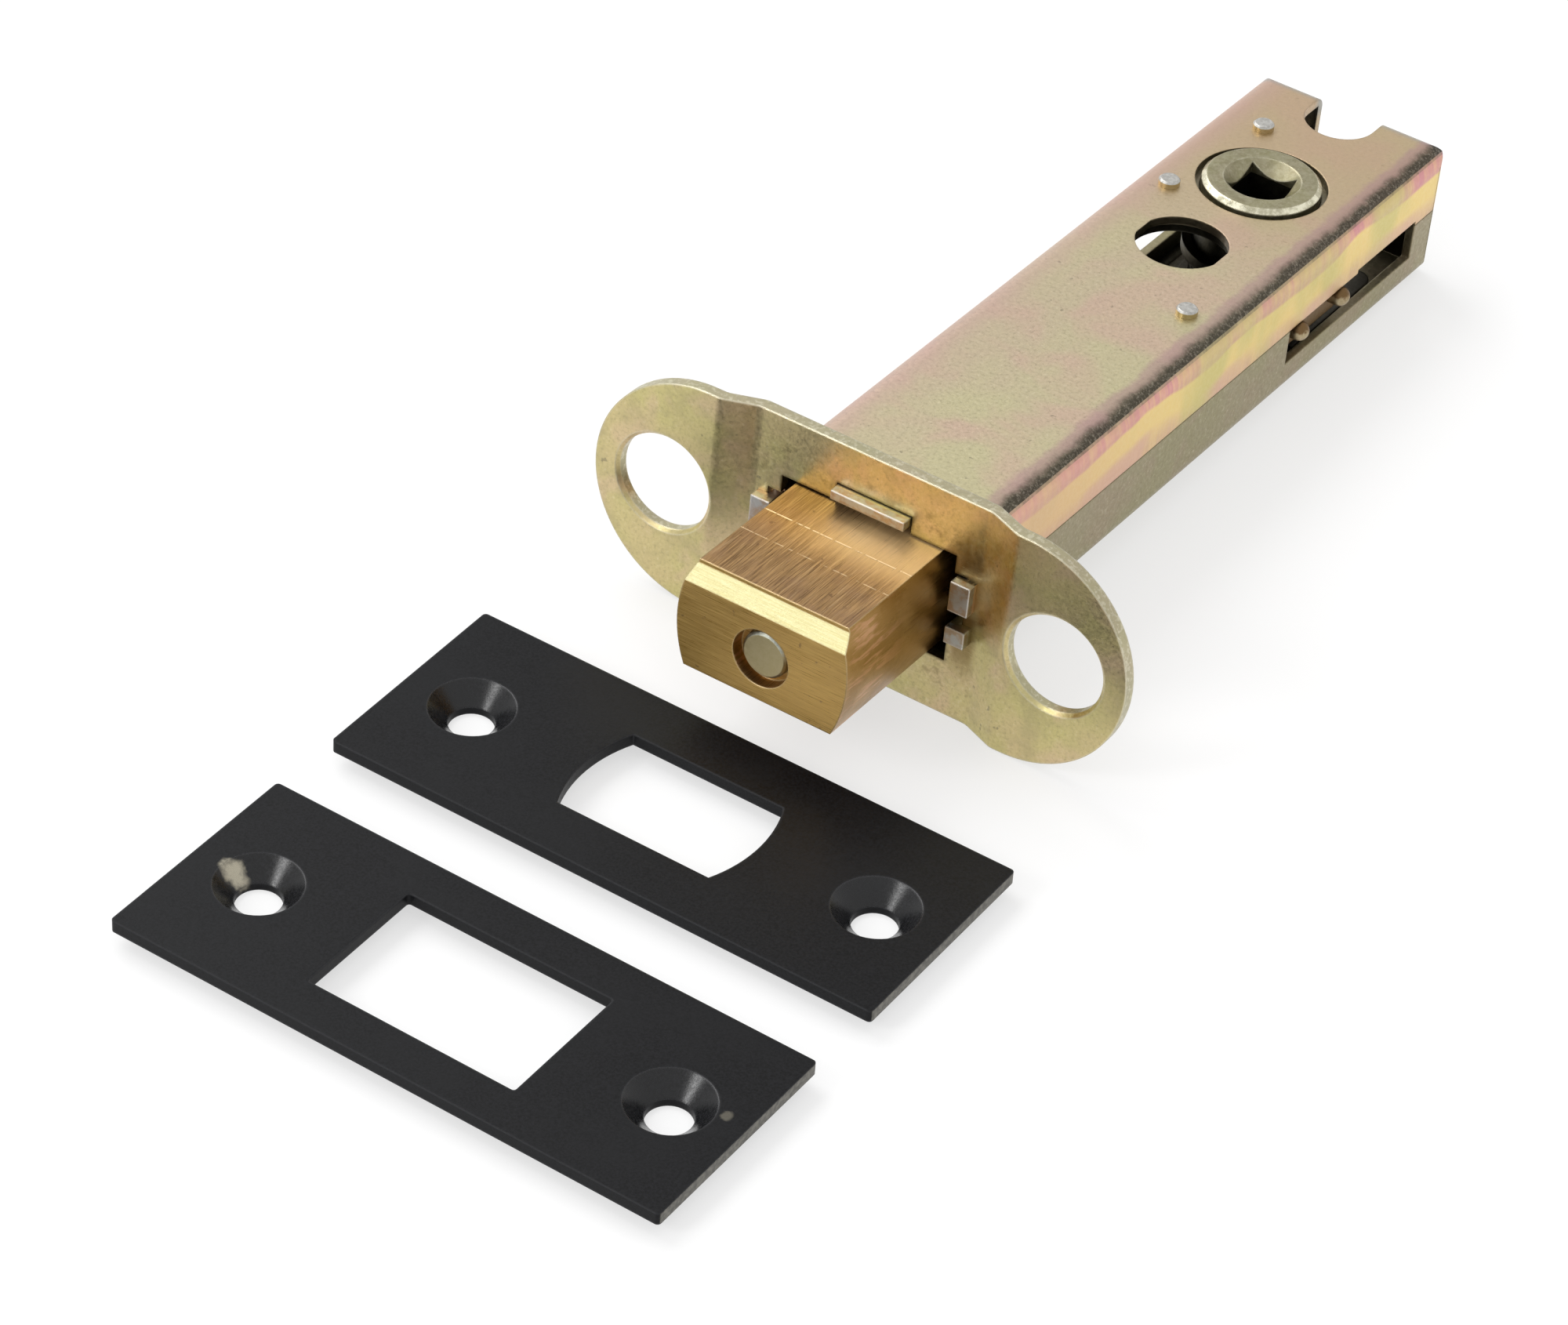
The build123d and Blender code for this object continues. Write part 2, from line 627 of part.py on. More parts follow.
def loose_plate(name, centre_x, centre_y, turn, opening):
    """A plate lying on the rest surface on the feet of its two pressed countersinks."""
    standing = sink_reach - plate_sheet
    normal = (0, -sin(rest_angle), cos(rest_angle))
    origin = (centre_x - normal[0] * standing,
              centre_y + normal[1] * standing,
              rest_slope * centre_y - rest_drop + normal[2] * standing)
    underside = Plane(origin=origin, x_dir=(1, 0, 0), z_dir=normal).rotated((0, 0, turn))
    top = underside.offset(plate_sheet)
    foot = underside.offset(-standing)
    holes = [(-plate_hole_spacing / 2, 0), (plate_hole_spacing / 2, 0)]
    foot_radius = plate_hole_radius + sink_wall
    throat = sink_radius - plate_hole_radius
    with BuildPart() as plate:
        with BuildSketch(underside):
            RectangleRounded(plate_length, plate_width, plate_corner)
        extrude(amount=plate_sheet)
        with BuildSketch(foot):
            with Locations(*holes):
                Circle(foot_radius)
        extrude(amount=standing, taper=-45)
        with BuildSketch(top):
            with Locations(*holes):
                Circle(sink_radius)
        extrude(amount=-throat, taper=45, mode=Mode.SUBTRACT)
        with BuildSketch(top):
            with Locations(*holes):
                Circle(plate_hole_radius)
        extrude(amount=-2 * sink_reach, mode=Mode.SUBTRACT)
        with BuildSketch(top):
            add(opening)
        extrude(amount=-2 * sink_reach, mode=Mode.SUBTRACT)
    plate.part.label = name
    export_step(plate.part, f"parts/{name}.step")


cover_section = bolt_section(bolt_width + 2 * cover_clearance, bolt_height + 2 * cover_clearance,
                             bolt_side_radius + cover_clearance)
cover_opening = Plane.XZ.to_local_coords(cover_section)
cover_y = bolt_nose - cover_gap - plate_width / 2
loose_plate("cover_plate", cover_shift, cover_y, 0, cover_opening)

with BuildSketch() as strike_opening:
    RectangleRounded(strike_opening_length, strike_opening_width, strike_opening_corner)
strike_y = cover_y - plate_width - strike_gap
loose_plate("strike_plate", strike_shift, strike_y, strike_turn, strike_opening.sketch)
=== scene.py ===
import bpy
from mathutils import Matrix, Vector

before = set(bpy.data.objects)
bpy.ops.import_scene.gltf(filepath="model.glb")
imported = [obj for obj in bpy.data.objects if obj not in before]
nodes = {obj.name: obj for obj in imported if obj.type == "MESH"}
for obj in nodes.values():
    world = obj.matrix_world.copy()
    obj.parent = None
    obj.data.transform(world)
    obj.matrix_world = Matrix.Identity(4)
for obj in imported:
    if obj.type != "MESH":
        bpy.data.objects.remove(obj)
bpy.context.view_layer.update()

# Places and lengths are in millimetres where nothing else is said
MM = 0.001

# Camera, fitted to the photograph
CAMERA_PLACE = (199.42, -419.52, 292.76)
CAMERA_RIGHT = (0.8249, 0.5590, 0.0842)
CAMERA_UP = (-0.3945, 0.4626, 0.7940)
CAMERA_BACK = (0.4049, -0.6881, 0.6021)
CAMERA_LENS = 129.1
CAMERA_SENSOR = 36.0
CAMERA_CLIP = (10.0, 20000.0)

# Surface the parts lie on: under the forend's lower edge and the tail's lower edge
REST_SLOPE = 0.05067
REST_DROP = 8.2374
FLOOR_REACH = 3000.0
FLOOR_COLOUR = (0.93, 0.93, 0.93)
FLOOR_ROUGHNESS = 0.9
FLOOR_SHOWN_WHITE = 0.62

# Light: strength of the pale surround, then place, target, side in metres and watts of each box
SURROUND_STRENGTH = 0.85
LIGHT_BOXES = {
    "upper_left_box": ((-0.8, 0.1, 0.9), (0, -0.05, 0), 0.8, 7.0),
    "front_box": ((-0.49, -0.97, 0.63), (0, -0.08, 0), 0.32, 3.2),
}

# Places on the object that its materials follow
CASE_INNER_HALF_WIDTH = 9.6
CASE_INNER_HALF_DEPTH = 6.4
CASE_INNER_FRONT = -66.5
CASE_INNER_TAIL = 17.675
WALL_HALF_WIDTH = 10.0
LUG_LINE = -69.0
TAIL_ROUNDING = (0.25, 0.8)
DARK_BAND_EDGE = 8.7
TOP_HOLES_HALF_WIDTH = 7.0
TOP_HOLES_MIDDLE = -6.0
TOP_HOLES_HALF_LENGTH = 13.2
EAR_JOGGLE = 10.9
MOUTH_HALF_WIDTH = 12.0
MOUTH_HALF_HEIGHT = 8.6
HUB_RIM_RADIUS = 5.0
SCORE_LINE = -73.6
SECOND_SCORE_LINE = -77.3
PLATE_END = 26.0

# Worn spots of the two plates: x, y, reach and amount
COVER_WEAR = [(-20.9, -99.3, 0.4, 0.12)]
STRIKE_WEAR = [(-25.4, -125.3, 1.3, 0.75), (24.9, -124.8, 0.6, 0.15)]

# Zinc colours of each piece: main, pink and yellow, with the fineness of their drifts
UPPER_ZINC = ((0.57, 0.48, 0.33), (0.62, 0.43, 0.35), (0.57, 0.52, 0.32), 1.0)
LOWER_ZINC = ((0.36, 0.31, 0.195), (0.37, 0.29, 0.195), (0.34, 0.305, 0.17), 1.6)
FOREND_ZINC = ((0.63, 0.52, 0.27), (0.68, 0.51, 0.33), (0.60, 0.53, 0.24), 2.0)
FOLLOWER_ZINC = ((0.28, 0.255, 0.155), (0.30, 0.26, 0.165), (0.30, 0.28, 0.155), 4.0)
GUIDE_PIN_ZINC = ((0.44, 0.35, 0.21), (0.40, 0.28, 0.15), (0.48, 0.40, 0.25), 8.0)
PLAIN_ZINC = ((0.46, 0.42, 0.30), (0.50, 0.41, 0.30), (0.50, 0.46, 0.30), 3.0)

# Colours on every zinc piece
DARK_SPECK = (0.20, 0.17, 0.10)
PALE_SPECK = (0.88, 0.80, 0.62)
BLACK_FLECK = (0.16, 0.14, 0.10)
INNER_SHADE = (0.018, 0.016, 0.012)
SHEARED_GREY = (0.50, 0.51, 0.50)
SHEARED_RUST = (0.44, 0.32, 0.22)
SHEARED_EDGE_HIGHLIGHT = (0.84, 0.83, 0.78)

# Colours of the case's top and side walls
TAIL_TAN = (0.52, 0.375, 0.23)
LEFT_EDGE_PINK = (0.62, 0.40, 0.38)
ROLLED_SILVER = (0.38, 0.40, 0.39)
WALL_PINK = (0.68, 0.32, 0.33)
WALL_YELLOW = (0.88, 0.68, 0.27)
WALL_TAN = (0.72, 0.50, 0.30)
WALL_BRUSHED = (0.90, 0.68, 0.30)
WALL_OLIVE = (0.62, 0.57, 0.22)
WALL_BLUSH = (0.74, 0.47, 0.36)
WALL_FRONT = (0.70, 0.43, 0.30)
BAND_SHADE_DARK = (0.055, 0.047, 0.036)
BAND_SHADE_PALE = (0.25, 0.22, 0.175)
BAND_FRINGE = (0.42, 0.25, 0.27)
CUT_WALL_SHADE = (0.10, 0.085, 0.05)

# Colours of the forend, the hub and the guide pins
FOREND_DULL = (0.40, 0.34, 0.19)
FOREND_JOGGLE_SHADE = (0.24, 0.16, 0.06)
FOREND_RIM = ((0.40, 0.38, 0.27), (0.60, 0.58, 0.46))
FOREND_SCUFF = (0.84, 0.74, 0.44)
FOREND_SMUDGE = (0.26, 0.20, 0.09)
FOREND_EDGE_HIGHLIGHT = (0.84, 0.80, 0.64)
FOREND_MOUTH_SHADE = (0.05, 0.038, 0.022)
HUB_MOTTLE = (0.42, 0.39, 0.27)
HUB_RIM_HIGHLIGHT = (0.92, 0.88, 0.68)
PIN_SHADE = (0.16, 0.09, 0.035)

# Colours of the brass bolt
BRASS_GRAIN = ((0.20, 0.115, 0.05), (0.50, 0.31, 0.14))
BRASS_BLOTCH = (0.30, 0.18, 0.105)
BRASS_FACE = ((0.45, 0.27, 0.06), (0.64, 0.42, 0.12))
BRASS_SIDE = ((0.34, 0.19, 0.045), (0.44, 0.265, 0.085))
BRASS_BEVEL_HIGHLIGHT = ((0.50, 0.45, 0.22), (0.60, 0.57, 0.34))
BRASS_DARK_STREAK = (0.15, 0.085, 0.04)
BRASS_PALE_STREAK = (0.80, 0.56, 0.30)
BRASS_COPPER = (0.72, 0.40, 0.24)
BRASS_SCRATCH = (0.76, 0.60, 0.40)
BRASS_PIT = (0.16, 0.09, 0.05)
BRASS_SCORE = (0.90, 0.72, 0.48)
BRASS_REAR_REFLECTION = (0.74, 0.51, 0.24)
BRASS_EDGE_HIGHLIGHT = (0.86, 0.70, 0.42)

# Colours of the black plates and of the steel pins, rivets and spring
COATING = ((0.0015, 0.0016, 0.002), (0.0085, 0.0088, 0.0105))
COATING_CLOUD = (0.008, 0.0083, 0.0095)
COATING_EDGE_HIGHLIGHT = (0.075, 0.076, 0.082)
SHEARED_END = (0.22, 0.21, 0.18)
BARE_METAL = (0.62, 0.57, 0.44)
BRIGHT_STEEL = ((0.42, 0.41, 0.38), (0.62, 0.61, 0.58))
HARD_STEEL = ((0.36, 0.38, 0.33), (0.60, 0.62, 0.53))
STEEL_SIDE = (0.52, 0.40, 0.16)

EVEN = (1, 1, 1)


def rest_height(y):
    return REST_SLOPE * y - REST_DROP


def make_camera():
    data = bpy.data.cameras.new("camera")
    data.lens = CAMERA_LENS
    data.sensor_width = CAMERA_SENSOR
    data.clip_start, data.clip_end = (limit * MM for limit in CAMERA_CLIP)
    camera = bpy.data.objects.new("camera", data)
    bpy.context.scene.collection.objects.link(camera)
    turn = Matrix((CAMERA_RIGHT, CAMERA_UP, CAMERA_BACK)).transposed()
    turn = turn.to_quaternion().to_matrix().to_4x4()
    camera.matrix_world = Matrix.Translation(Vector(CAMERA_PLACE) * MM) @ turn
    bpy.context.scene.camera = camera


def area_light(name, place, target, side, power):
    data = bpy.data.lights.new(name, "AREA")
    data.shape = "RECTANGLE"
    data.size = data.size_y = side
    data.energy = power
    light = bpy.data.objects.new(name, data)
    light.location = place
    light.rotation_euler = (Vector(target) - Vector(place)).to_track_quat("-Z", "Y").to_euler()
    bpy.context.scene.collection.objects.link(light)


def make_surround():
    world = bpy.data.worlds.new("surround")
    bpy.context.scene.world = world
    world.use_nodes = True
    background = world.node_tree.nodes["Background"]
    background.inputs["Color"].default_value = (1.0, 1.0, 1.0, 1.0)
    background.inputs["Strength"].default_value = SURROUND_STRENGTH


class Shader:
    """Builds one procedural material in the object's own millimetres."""

    def __init__(self, name):
        self.material = bpy.data.materials.new(name)
        self.material.use_nodes = True
        self.tree = self.material.node_tree
        self.body = self.tree.nodes["Principled BSDF"]
        place = self.node("ShaderNodeTexCoord").outputs["Object"]
        self.place = self.vector("MULTIPLY", place, (1 / MM, 1 / MM, 1 / MM))
        self.x, self.y, self.z = self.split(self.place)
        self.flat = self.node("ShaderNodeNewGeometry").outputs["True Normal"]
        self.nx, self.ny, self.nz = self.split(self.flat)
        self.colour = None
        self.rough = None

    def node(self, kind, **values):
        made = self.tree.nodes.new(kind)
        for key, value in values.items():
            setattr(made, key, value)
        return made

    def join(self, source, target):
        """Link a socket, or write a number or colour as the target's own value."""
        if hasattr(source, "is_linked"):
            self.tree.links.new(source, target)
        elif hasattr(target.default_value, "__len__") and len(target.default_value) == 4:
            target.default_value = tuple(source) + (1.0,)
        else:
            target.default_value = source

    def split(self, vector):
        made = self.node("ShaderNodeSeparateXYZ")
        self.join(vector, made.inputs[0])
        return made.outputs

    def vector(self, kind, a, b):
        made = self.node("ShaderNodeVectorMath", operation=kind)
        self.join(a, made.inputs[0])
        self.join(b, made.inputs[1])
        return made.outputs[0]

    def math(self, kind, *values):
        made = self.node("ShaderNodeMath", operation=kind)
        for value, socket in zip(values, made.inputs):
            self.join(value, socket)
        return made.outputs[0]

    def absolute(self, value):
        return self.math("ABSOLUTE", value)

    def plus(self, a, b):
        return self.math("ADD", a, b)

    def minus(self, a, b):
        return self.math("SUBTRACT", a, b)

    def larger(self, a, b):
        return self.math("MAXIMUM", a, b)

    def times(self, *values):
        result = values[0]
        for value in values[1:]:
            result = self.math("MULTIPLY", result, value)
        return result

    def distance(self, x, y):
        """Distance from a line along Z through this place."""
        squares = [self.math("POWER", self.minus(a, b), 2.0) for a, b in ((self.x, x), (self.y, y))]
        return self.math("SQRT", self.plus(*squares))

    def noise(self, scale, stretch=EVEN, detail=4.0, rough=0.7, warp=0.0):
        made = self.node("ShaderNodeTexNoise")
        for key, value in (("Scale", scale), ("Detail", detail), ("Roughness", rough),
                           ("Distortion", warp)):
            made.inputs[key].default_value = value
        self.join(self.vector("MULTIPLY", self.place, stretch), made.inputs["Vector"])
        return made.outputs["Fac"]

    def span(self, value, start, end, least=0.0, most=1.0):
        """Soft step from least at the start to most at the end."""
        made = self.node("ShaderNodeMapRange", interpolation_type="SMOOTHSTEP")
        for part, socket in zip((value, start, end, least, most), made.inputs):
            self.join(part, socket)
        return made.outputs[0]

    def patches(self, scale, start, end, least=0.0, most=1.0, stretch=EVEN, detail=3.0, rough=0.6):
        """Noise sharpened into soft patches."""
        return self.span(self.noise(scale, stretch, detail, rough), start, end, least, most)

    def band(self, value, centre, half, soft):
        """One inside the band, fading to nothing over the soft width."""
        away = self.absolute(self.minus(value, centre))
        return self.span(away, half, half + soft, 1.0, 0.0)

    def slope(self):
        """One on faces that slope upwards, such as bevels and countersinks."""
        return self.times(self.span(self.nz, 0.5, 0.6), self.span(self.nz, 0.9, 0.8))

    def inside(self):
        """One for what lies within the case's inner walls."""
        half_width, half_depth = CASE_INNER_HALF_WIDTH, CASE_INNER_HALF_DEPTH
        across = self.span(self.absolute(self.x), half_width + 0.02, half_width - 0.02)
        deep = self.span(self.absolute(self.z), half_depth + 0.02, half_depth - 0.02)
        behind = self.span(self.y, CASE_INNER_FRONT - 0.5, CASE_INNER_FRONT + 0.5)
        before = self.span(self.y, CASE_INNER_TAIL + 0.025, CASE_INNER_TAIL - 0.025)
        return self.times(across, deep, behind, before)

    def rounded(self, radius):
        """Normal of the shape with its sharp edges rounded."""
        made = self.node("ShaderNodeBevel", samples=4)
        self.join(self.times(radius, MM), made.inputs["Radius"])
        return made.outputs[0]

    def edges(self, radius):
        """One along sharp edges, where edge highlights and edge shade are painted."""
        turn = self.node("ShaderNodeVectorMath", operation="DOT_PRODUCT")
        self.join(self.rounded(radius), turn.inputs[0])
        self.join(self.flat, turn.inputs[1])
        return self.span(turn.outputs["Value"], 0.98, 0.86)

    def mix(self, amount, a, b):
        made = self.node("ShaderNodeMix", data_type="RGBA")
        self.join(amount, made.inputs["Factor"])
        colours = [socket for socket in made.inputs if socket.type == "RGBA"]
        self.join(a, colours[0])
        self.join(b, colours[1])
        return [socket for socket in made.outputs if socket.type == "RGBA"][0]

    def paint(self, colour, *masks):
        """Lay a colour over what is there, as far as all the masks let it through."""
        self.colour = self.mix(self.times(*masks), self.colour, colour)

    def bump(self, height, strength, depth, radius):
        made = self.node("ShaderNodeBump")
        made.inputs["Strength"].default_value = strength
        made.inputs["Distance"].default_value = depth * MM
        self.join(height, made.inputs["Height"])
        self.join(self.rounded(radius), made.inputs["Normal"])
        self.join(made.outputs[0], self.body.inputs["Normal"])

    def finish(self, metallic=1.0):
        self.join(self.colour, self.body.inputs["Base Color"])
        self.join(self.rough, self.body.inputs["Roughness"])
        self.join(metallic, self.body.inputs["Metallic"])
        return self.material


def zinc_shader(name, zinc, tail_rounding=None):
    """Yellow passivated zinc: slow drifts of pink, straw and olive, finely speckled."""
    main, pink, yellow, fineness = zinc
    s = Shader(name)
    slow = s.noise(0.05 * fineness, (1.6, 1, 1.6), 2.0, 0.5, 0.4)
    drift = s.noise(0.12 * fineness, EVEN, 2.0, 0.5, 0.4)
    speck = s.noise(2.6, EVEN, 3.0, 0.75)
    s.colour = s.mix(s.span(slow, 0.35, 0.65), main, yellow)
    s.paint(pink, s.span(drift, 0.45, 0.7, 0.0, 0.65))
    s.paint(DARK_SPECK, s.span(speck, 0.48, 0.72, 0.0, 0.34))
    s.paint(PALE_SPECK, s.span(speck, 0.46, 0.28, 0.0, 0.22))
    s.paint(BLACK_FLECK, s.patches(0.9, 0.70, 0.76, 0.0, 0.5, EVEN, 2.0))
    s.rough = s.span(s.noise(2.2), 0.3, 0.7, 0.34, 0.48)
    radius = s.span(s.y, 15.5, 17.0, *tail_rounding) if tail_rounding else 0.25
    s.bump(s.noise(5.0, EVEN, 4.0, 0.75), 0.3, 0.04, radius)
    return s


def finish_with_inner_shade(s):
    """Finish a case part: inner faces get painted shade, dull and dark."""
    s.paint(INNER_SHADE, s.inside(), 0.92)
    return s.finish()


def shear_lugs(s, amount):
    """Sheared and staked lugs: silvery steel with warm blotches and painted highlights on their
    edges.
    """
    bare = s.mix(s.patches(0.9, 0.4, 0.62), SHEARED_GREY, SHEARED_RUST)
    bare = s.mix(s.times(s.edges(0.3), 0.8), bare, SHEARED_EDGE_HIGHLIGHT)
    s.paint(bare, s.span(s.y, LUG_LINE + 0.1, LUG_LINE - 0.1), amount)


def side_wall_colour(s):
    """Interference colours down the side wall, pink above, then yellow, olive and tan."""
    wander = s.patches(0.07, 0.3, 0.7, -0.6, 0.6, (0.3, 1, 0.3), 2.0, 0.5)
    level = s.plus(s.z, wander)
    colour = s.mix(s.span(level, 5.3, 4.8), WALL_PINK, WALL_YELLOW)
    colour = s.mix(s.span(level, 2.8, 0.4), colour, WALL_TAN)
    brushed = s.patches(0.5, 0.35, 0.7, 0.0, 0.45, (0.3, 2.5, 0.25))
    colour = s.mix(brushed, colour, WALL_BRUSHED)
    olive = s.patches(0.14, 0.44, 0.70, 0.0, 0.7, (0.3, 1, 0.5), 2.0, 0.5)
    colour = s.mix(olive, colour, WALL_OLIVE)
    blush = s.patches(0.09, 0.42, 0.66, 0.0, 0.8, (0.4, 1, 0.6), 2.0, 0.5)
    colour = s.mix(s.times(blush, s.span(level, 3.0, 1.6)), colour, WALL_BLUSH)
    return s.mix(s.span(s.y, -30.0, -60.0, 0.0, 0.6), colour, WALL_FRONT)


def upper_shell_material():
    s = zinc_shader("upper_case_zinc", UPPER_ZINC, TAIL_ROUNDING)
    s.paint(TAIL_TAN, s.span(s.y, -25.0, 10.0), 0.65)
    s.paint(LEFT_EDGE_PINK, s.span(s.x, -6.0, -9.5), 0.5)
    s.paint(ROLLED_SILVER, s.span(s.y, 16.6, 18.0), s.span(s.z, 4.5, 6.0), 0.75)
    upright = s.span(s.absolute(s.nx), 0.68, 0.86)
    outer = s.span(s.absolute(s.x), WALL_HALF_WIDTH - 0.2, WALL_HALF_WIDTH + 0.2)
    s.paint(side_wall_colour(s), upright, outer)
    # Pink fringe, then a dull speckled band of painted shade over the right-hand bend
    ragged = s.patches(0.35, 0.3, 0.7, -0.25, 0.25, EVEN, 4.0, 0.7)
    across = s.plus(s.x, ragged)
    fringe = s.times(s.band(across, DARK_BAND_EDGE, 0.3, 0.9), s.span(s.nz, 0.7, 0.9))
    s.paint(BAND_FRINGE, fringe, 0.55)
    turned = s.plus(s.nx, s.times(ragged, 0.1))
    bend = s.times(s.span(across, DARK_BAND_EDGE - 0.1, DARK_BAND_EDGE + 1.0),
                   s.span(turned, 0.72, 0.86, 1.0, 0.0), s.span(s.nz, 0.2, 0.4))
    bend_shade = s.mix(s.patches(3.2, 0.45, 0.72, rough=0.75), BAND_SHADE_DARK, BAND_SHADE_PALE)
    s.paint(bend_shade, bend, 0.94)
    # Painted shade on the cut walls of the fixing hole and the hub's hole
    cut = s.times(s.span(s.absolute(s.nz), 0.3, 0.1), s.band(s.x, 0.0, TOP_HOLES_HALF_WIDTH, 0.2),
                  s.band(s.y, TOP_HOLES_MIDDLE, TOP_HOLES_HALF_LENGTH, 0.2))
    s.paint(CUT_WALL_SHADE, cut, 0.85)
    shear_lugs(s, 0.85)
    return finish_with_inner_shade(s)


def lower_shell_material():
    s = zinc_shader("lower_case_zinc", LOWER_ZINC)
    shear_lugs(s, 0.7)
    return finish_with_inner_shade(s)


def forend_material():
    s = zinc_shader("forend_zinc", FOREND_ZINC)
    s.rough = s.minus(s.rough, 0.06)
    s.paint(FOREND_DULL, s.patches(0.35, 0.45, 0.7, 0.0, 0.4))
    # Painted shade on the slope of the right-hand joggle, on faces turned to the front
    joggle_shade = s.times(s.band(s.x, EAR_JOGGLE, 0.6, 1.2), s.band(s.z, 0.5, 4.0, 5.0))
    s.paint(FOREND_JOGGLE_SHADE, joggle_shade, s.span(s.ny, -0.3, -0.6), 0.8)
    rim = s.mix(s.patches(2.0, 0.5, 0.62, rough=0.7), *FOREND_RIM)
    s.paint(rim, s.span(s.absolute(s.ny), 0.35, 0.15), 0.7)
    # Scuffs and smudges round the bolt's opening, with painted shade along its edges; painted
    # highlights on the edges elsewhere
    mouth = s.times(s.band(s.x, 0.0, MOUTH_HALF_WIDTH, 0.5), s.band(s.z, 0.0, MOUTH_HALF_HEIGHT, 0.5))
    scuff = s.span(s.noise(0.8, (0.5, 1, 9), 3.0, 0.7, 1.5), 0.60, 0.72, 0.0, 0.45)
    s.paint(FOREND_SCUFF, scuff, mouth)
    s.paint(FOREND_SMUDGE, s.patches(0.6, 0.50, 0.68, 0.0, 0.5, rough=0.7), mouth)
    s.paint(FOREND_EDGE_HIGHLIGHT, s.edges(0.3), s.minus(1.0, mouth), 0.7)
    s.paint(FOREND_MOUTH_SHADE, s.edges(0.6), mouth, 0.9)
    return s.finish()


def follower_material():
    """Turned hub: mottled face, with a painted highlight where its rim is turned off."""
    s = zinc_shader("follower_zinc", FOLLOWER_ZINC)
    s.paint(HUB_MOTTLE, s.patches(1.6, 0.35, 0.65, 0.0, 0.6, EVEN, 4.0, 0.7))
    away = s.distance(0.0, 0.0)
    rim = s.times(s.slope(), s.span(away, HUB_RIM_RADIUS - 0.2, HUB_RIM_RADIUS + 0.2))
    rim = s.larger(rim, s.times(s.edges(0.25), 0.8))
    s.paint(HUB_RIM_HIGHLIGHT, rim, s.patches(0.7, 0.4, 0.6, 0.35, 1.0, rough=0.7))
    s.rough = s.minus(s.rough, s.times(rim, 0.14))
    return finish_with_inner_shade(s)


def guide_pin_material():
    """Worn gold pins, with painted shade above, under the upper wall's edge, and on the inner side.
    """
    s = zinc_shader("guide_pin_zinc", GUIDE_PIN_ZINC)
    ragged = s.patches(1.5, 0.3, 0.7, -0.2, 0.2, EVEN, 4.0, 0.55)
    above = s.span(s.plus(s.z, ragged), -0.9, -0.45)
    inner = s.span(s.x, CASE_INNER_HALF_WIDTH, CASE_INNER_HALF_WIDTH - 0.1)
    s.paint(PIN_SHADE, s.larger(above, inner), 0.9)
    return s.finish()


def brass_material():
    """Brass, brushed along its top and across its face, scored where it has worked."""
    s = Shader("brushed_brass")
    top = s.span(s.nz, 0.85, 0.95)
    bevel = s.times(s.span(s.nz, 0.4, 0.5), s.span(s.nz, 0.9, 0.8), s.span(s.ny, -0.4, -0.5))
    face = s.span(s.ny, -0.9, -0.97)
    side = s.span(s.absolute(s.nx), 0.6, 0.8)
    across = s.noise(1.2, (0.25, 9, 9), 5.0)
    along = s.noise(1.2, (9, 0.25, 9), 5.0)
    grain = s.plus(s.times(across, face), s.times(along, s.minus(1.0, face)))
    grained = s.span(grain, 0.3, 0.7)
    broad = s.noise(0.25, EVEN, 3.0, 0.6)
    s.colour = s.mix(grained, *BRASS_GRAIN)
    s.paint(BRASS_BLOTCH, s.span(broad, 0.4, 0.7, 0.0, 0.6))
    s.paint(s.mix(grained, *BRASS_FACE), face, 0.75)
    s.paint(s.mix(s.span(broad, 0.4, 0.6), *BRASS_SIDE), side, 0.8)
    streak = s.noise(0.45, (13, 0.4, 13), 4.0, 0.75)
    s.paint(BRASS_DARK_STREAK, s.span(streak, 0.50, 0.66, 0.0, 0.4), top)
    s.paint(BRASS_PALE_STREAK, s.span(streak, 0.47, 0.34, 0.0, 0.3), top)
    copper = s.patches(0.6, 0.50, 0.64, stretch=(1, 0.4, 2.5))
    s.paint(BRASS_COPPER, copper, side, s.span(s.y, -74.0, -80.0), 0.55)
    s.paint(BRASS_SCRATCH, s.patches(0.5, 0.66, 0.74, stretch=(30, 0.2, 30)), top, 0.5)
    s.paint(BRASS_PIT, s.patches(1.1, 0.68, 0.74, detail=2.0), s.larger(top, face), 0.6)
    dash = s.patches(1.6, 0.40, 0.52, stretch=(1, 0.1, 1), detail=2.0)
    score = s.times(s.band(s.y, SCORE_LINE, 0.05, 0.06), dash, top)
    second = s.times(s.band(s.y, SECOND_SCORE_LINE, 0.04, 0.05), dash, top, 0.5)
    scored = s.larger(score, second)
    s.paint(BRASS_SCORE, scored, 0.8)
    # Painted reflection of the forend, brightening the rear right of the top; the metallic is lowered
    # there too
    rear_reflection = s.times(s.span(s.y, -77.5, -72.5), s.span(s.x, -6.0, 2.0), top)
    s.paint(BRASS_REAR_REFLECTION, rear_reflection, 0.6)
    # Painted highlight on the bevel
    s.paint(s.mix(s.span(across, 0.3, 0.7), *BRASS_BEVEL_HIGHLIGHT), bevel, 0.95)
    # Painted highlights along the edges
    s.paint(BRASS_EDGE_HIGHLIGHT, s.edges(0.25), 0.5)
    s.rough = s.plus(s.span(grain, 0.3, 0.7, 0.26, 0.42), s.times(bevel, 0.12))
    s.bump(s.minus(grain, s.times(scored, 1.5)), 0.5, 0.03, 0.2)
    return s.finish(s.minus(1.0, s.larger(s.times(rear_reflection, 0.6), s.times(face, 0.35))))


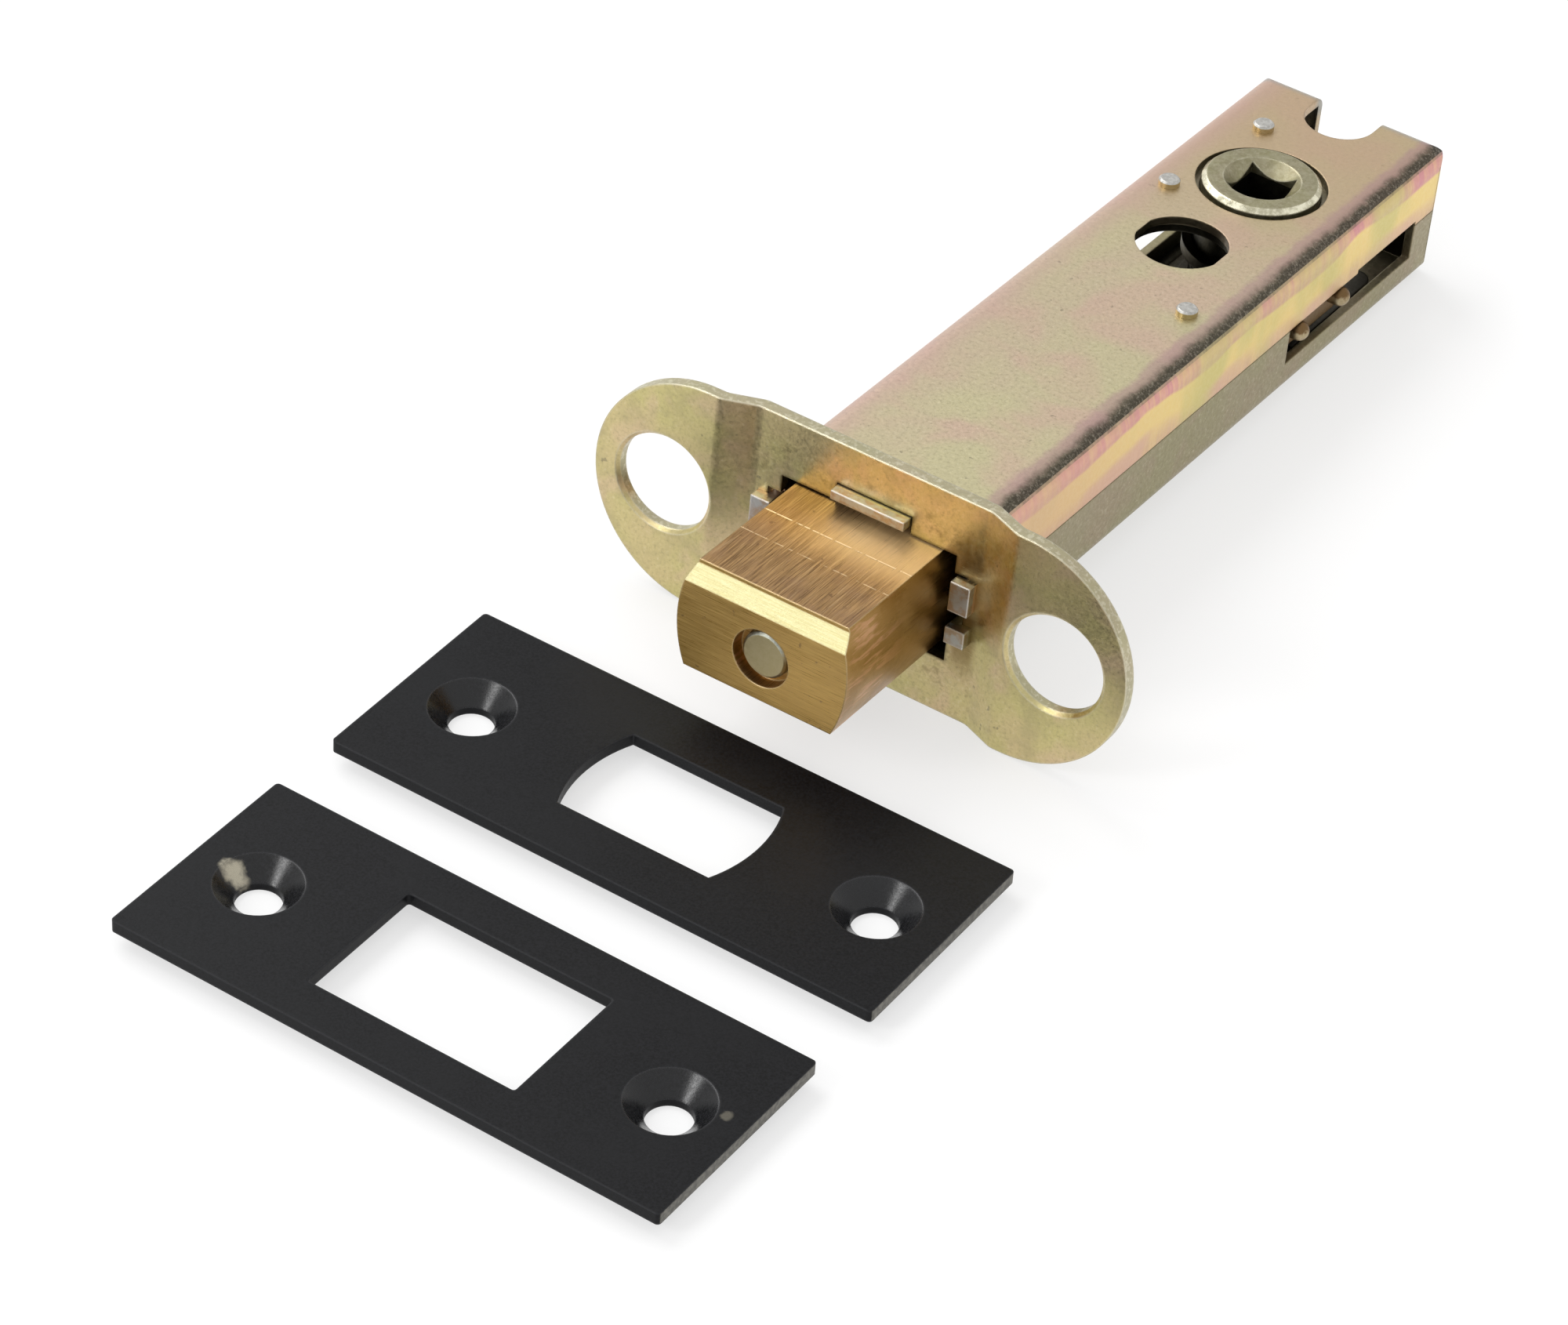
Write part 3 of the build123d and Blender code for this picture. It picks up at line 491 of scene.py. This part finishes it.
def black_material(name, worn):
    """Satin black coating, bare at the sheared ends and at the worn spots."""
    s = Shader(name)
    fine = s.noise(4.0)
    s.colour = s.mix(s.span(fine, 0.3, 0.7), *COATING)
    s.paint(COATING_CLOUD, s.patches(0.12, 0.4, 0.7, 0.0, 0.5))
    end = s.times(s.span(s.absolute(s.nx), 0.85, 0.97),
                  s.span(s.absolute(s.x), PLATE_END - 0.5, PLATE_END + 0.5))
    s.paint(SHEARED_END, end, s.patches(2.0, 0.35, 0.65, 0.5, 1.0, rough=0.7), 0.8)
    # Painted highlights along the edges
    s.paint(COATING_EDGE_HIGHLIGHT, s.edges(0.3), 0.5)
    bare = 0.0
    ragged = s.patches(0.6, 0.3, 0.7, -0.3, 0.3)
    for x, y, reach, amount in worn:
        away = s.plus(s.distance(x, y), ragged)
        bare = s.larger(bare, s.span(away, reach, reach * 0.4, 0.0, amount))
    s.paint(BARE_METAL, bare)
    sink = s.slope()
    s.rough = s.minus(s.span(fine, 0.3, 0.7, 0.32, 0.46), s.times(sink, 0.14))
    s.join(s.plus(0.14, s.times(sink, 0.3)), s.body.inputs["Specular IOR Level"])
    s.bump(fine, 0.3, 0.03, 0.3)
    return s.finish(bare)


def steel_material(name, colours, smoothest):
    """Bright steel with yellow plating left down its sides."""
    s = Shader(name)
    grain = s.noise(2.5)
    s.colour = s.mix(s.span(grain, 0.3, 0.7), *colours)
    s.paint(STEEL_SIDE, s.span(s.absolute(s.nz), 0.5, 0.2), 0.7)
    s.rough = s.span(grain, 0.3, 0.7, smoothest, smoothest + 0.15)
    s.bump(grain, 0.2, 0.03, 0.12)
    return s.finish()


def paper_material():
    """Pale floor, shown nearly white to the camera and in reflections, with the shadow kept."""
    s = Shader("paper")
    s.colour, s.rough = FLOOR_COLOUR, FLOOR_ROUGHNESS
    s.body.inputs["Specular IOR Level"].default_value = 0.0
    ray = s.node("ShaderNodeLightPath").outputs
    seen = s.larger(s.larger(ray["Is Camera Ray"], ray["Is Glossy Ray"]), ray["Is Transmission Ray"])
    white = s.node("ShaderNodeEmission")
    blend = s.node("ShaderNodeMixShader")
    s.join(s.times(seen, FLOOR_SHOWN_WHITE), blend.inputs[0])
    s.join(s.body.outputs[0], blend.inputs[1])
    s.join(white.outputs[0], blend.inputs[2])
    s.join(blend.outputs[0], s.tree.nodes["Material Output"].inputs["Surface"])
    return s.finish(0.0)


def make_floor():
    """Wide floor, tilted to the surface that the parts lie on."""
    signs = ((-1, -1), (1, -1), (1, 1), (-1, 1))
    corners = [(x * FLOOR_REACH, y * FLOOR_REACH, rest_height(y * FLOOR_REACH)) for x, y in signs]
    data = bpy.data.meshes.new("floor")
    data.from_pydata([tuple(v * MM for v in corner) for corner in corners], [], [(0, 1, 2, 3)])
    data.materials.append(paper_material())
    floor = bpy.data.objects.new("floor", data)
    bpy.context.scene.collection.objects.link(floor)


make_camera()
make_floor()
make_surround()
for name, box in LIGHT_BOXES.items():
    area_light(name, *box)
bpy.context.scene.view_settings.view_transform = "Standard"

# Materials of the pieces; a piece that isn't named here is plain zinc
plain = finish_with_inner_shade(zinc_shader("plain_zinc", PLAIN_ZINC))
worn_gold = guide_pin_material()
bright = steel_material("bright_steel", BRIGHT_STEEL, 0.28)
dressing = {
    "upper_shell": upper_shell_material(),
    "lower_shell": lower_shell_material(),
    "forend": forend_material(),
    "bolt": brass_material(),
    "hardened_pin": steel_material("hard_steel", HARD_STEEL, 0.35),
    "follower": follower_material(),
    "guide_pins": worn_gold,
    "side_plate": worn_gold,
    "upper_rivets": bright,
    "lower_rivets": bright,
    "spring_rivet": bright,
    "friction_spring": bright,
    "slide_pins": bright,
    "drive_pin": bright,
    "cover_plate": black_material("black_cover", COVER_WEAR),
    "strike_plate": black_material("black_strike", STRIKE_WEAR),
}
for name, node in nodes.items():
    for slot in node.material_slots:
        slot.material = dressing.get(name, plain)
